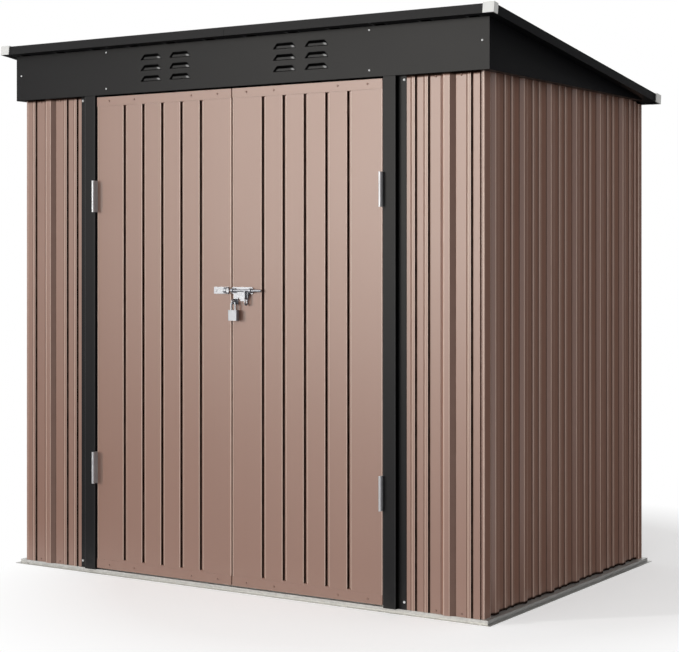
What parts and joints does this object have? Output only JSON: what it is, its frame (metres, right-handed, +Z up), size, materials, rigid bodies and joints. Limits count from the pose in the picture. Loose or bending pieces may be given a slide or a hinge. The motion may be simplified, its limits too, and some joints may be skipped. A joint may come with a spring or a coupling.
{
  "type": "metal garden shed",
  "caption": "Small metal garden shed with a single-slope roof, ribbed sheet walls, louvred header, base rails and two hinged doors closed by a sliding bolt with a padlock.",
  "frame": {"origin": "on the ground under the middle of the overall footprint", "axes": "+Z up, doors face -Y, +X to the right when facing the doors"},
  "size_m": [1.896, 1.249, 1.7743],
  "materials": {
    "galvanised_rail": "dull galvanised sheet",
    "brown_sheet": "satin baked paint, warm brown",
    "dark_sheet": "satin baked paint, near black",
    "pale_cap": "pale moulded plastic",
    "hinge_steel": "zinc plated",
    "bolt_steel": "zinc plated",
    "padlock_case": "brushed case",
    "padlock_shackle": "polished"
  },
  "bodies": {
    "shed": {"base_rail_front": "galvanised_rail", "base_rail_rear": "galvanised_rail", "base_rail_left": "galvanised_rail", "base_rail_right": "galvanised_rail", "front_wall_left": "brown_sheet", "front_wall_right": "brown_sheet", "side_wall_left": "brown_sheet", "side_wall_right": "brown_sheet", "rear_wall": "brown_sheet", "corner_post_front_left": "brown_sheet", "corner_post_front_right": "brown_sheet", "corner_post_rear_left": "brown_sheet", "corner_post_rear_right": "brown_sheet", "door_post_left": "dark_sheet", "door_post_right": "dark_sheet", "header_panel": "dark_sheet", "gable_left": "dark_sheet", "gable_right": "dark_sheet", "rear_top_rail": "galvanised_rail", "roof_sheet_left": "dark_sheet", "roof_sheet_middle": "dark_sheet", "roof_sheet_right": "dark_sheet", "roof_trim_front": "dark_sheet", "roof_trim_rear": "dark_sheet", "roof_trim_left": "dark_sheet", "roof_trim_right": "dark_sheet", "roof_corner_caps": "pale_cap", "post_hinges_left": "hinge_steel", "post_hinges_right": "hinge_steel"},
    "left_door": {"left_door_sheet": "brown_sheet", "left_door_top_rail": "brown_sheet", "left_door_bottom_rail": "brown_sheet", "left_door_hinges": "hinge_steel", "bolt_keeper": "bolt_steel"},
    "right_door": {"right_door_sheet": "brown_sheet", "right_door_top_rail": "brown_sheet", "right_door_bottom_rail": "brown_sheet", "right_door_hinges": "hinge_steel", "bolt_plate": "bolt_steel", "padlock_body": "padlock_case", "padlock_shackle": "padlock_shackle"},
    "bolt": {"slide_bolt": "bolt_steel"}
  },
  "joints": [
    {"name": "left_door_hinge", "type": "hinge", "parent": "shed", "child": "left_door", "pos_m": [-0.5565, -0.5955, 0.8], "axis": [0, 0, -1], "range_deg": [0, 170]},
    {"name": "right_door_hinge", "type": "hinge", "parent": "shed", "child": "right_door", "pos_m": [0.5565, -0.5955, 0.8], "axis": [0, 0, 1], "range_deg": [0, 170]},
    {"name": "bolt_slide", "type": "slide", "parent": "right_door", "child": "bolt", "axis": [-1, 0, 0], "range_m": [0, 0.026]}
  ]
}
